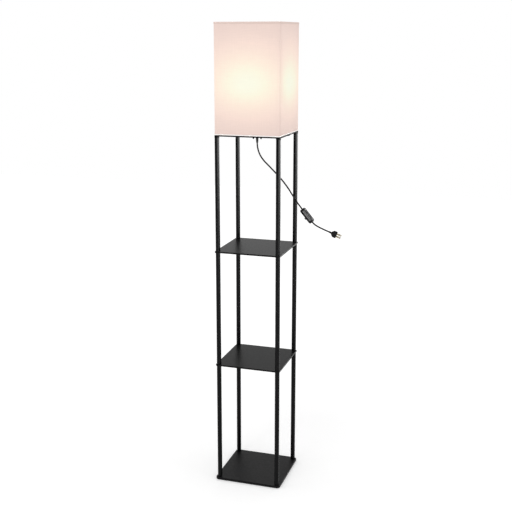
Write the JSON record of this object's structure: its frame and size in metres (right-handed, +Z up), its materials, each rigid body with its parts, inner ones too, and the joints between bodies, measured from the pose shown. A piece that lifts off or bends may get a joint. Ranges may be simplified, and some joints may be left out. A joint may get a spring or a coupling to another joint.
{
  "type": "shelf floor lamp",
  "caption": "Floor lamp with a tall square fabric shade on slim corner posts, open square shelves between the posts, a flat base plate and an inline rocker switch on its cord.",
  "frame": {"origin": "centre of the floor rectangle under the base plate, at the level of the pads' undersides", "axes": "+Z up along the posts, -Y is the front, +X is the right side, through which the cord leaves"},
  "size_m": [0.4166, 0.238, 1.6],
  "materials": {
    "post_paint": "satin black paint",
    "base_paint": "satin black paint with a fine grain",
    "shelf_paint": "satin black paint",
    "felt": "dark pressed felt",
    "zinc_steel": "zinc-plated steel",
    "black_screw": "blackened steel",
    "column_steel": "white-painted steel tube",
    "holder_plastic": "white moulded plastic",
    "ceramic": "glazed white insulator",
    "brass": "plain brass",
    "nickel_cap": "nickel-plated cap",
    "bulb_glass": "frosted opal glass",
    "shade_fabric": "pale laminated fabric, plain weave",
    "shade_trim": "rolled edge of the same fabric",
    "white_steel": "white-coated sheet steel and wire",
    "cord_black": "black PVC sheath",
    "switch_black": "black moulded plastic, fine texture",
    "rocker_grey": "dark grey moulded plastic"
  },
  "bodies": {
    "lamp": {"base_bolts": "zinc_steel", "base_pads": "felt", "base_plate": "base_paint", "bulb_cap": "nickel_cap", "bulb_glass": "bulb_glass", "cap_nuts": "black_screw", "cord_grip": "cord_black", "cord_inner": "cord_black", "cord_lower": "cord_black", "cord_upper": "cord_black", "cross_strap": "post_paint", "frame_screws": "black_screw", "holder_cap": "holder_plastic", "holder_column": "column_steel", "holder_contact": "brass", "holder_insulator": "ceramic", "holder_screws": "black_screw", "holder_shell": "holder_plastic", "holder_thread": "brass", "lower_post_back_left": "post_paint", "lower_post_back_right": "post_paint", "lower_post_front_left": "post_paint", "lower_post_front_right": "post_paint", "middle_post_back_left": "post_paint", "middle_post_back_right": "post_paint", "middle_post_front_left": "post_paint", "middle_post_front_right": "post_paint", "middle_shelf": "shelf_paint", "plug_blades": "brass", "plug_body": "switch_black", "shade_bottom_frame": "white_steel", "shade_bottom_trim": "shade_trim", "shade_fabric": "shade_fabric", "shade_top_band": "white_steel", "shade_top_trim": "shade_trim", "shade_uprights": "white_steel", "switch_back_shell": "switch_black", "switch_contacts": "brass", "switch_pivot": "zinc_steel", "switch_rocker_shell": "switch_black", "switch_screws": "zinc_steel", "top_frame": "post_paint", "upper_post_back_left": "post_paint", "upper_post_back_right": "post_paint", "upper_post_front_left": "post_paint", "upper_post_front_right": "post_paint", "upper_shelf": "shelf_paint"},
    "rocker": {"switch_rocker": "rocker_grey"}
  },
  "joints": [
    {"name": "switch_rock", "type": "hinge", "parent": "lamp", "child": "rocker", "pos_m": [0.17617, -0.00544, 0.96095], "axis": [-0.1066, -0.9903, -0.0895], "range_deg": [0, 22]}
  ]
}
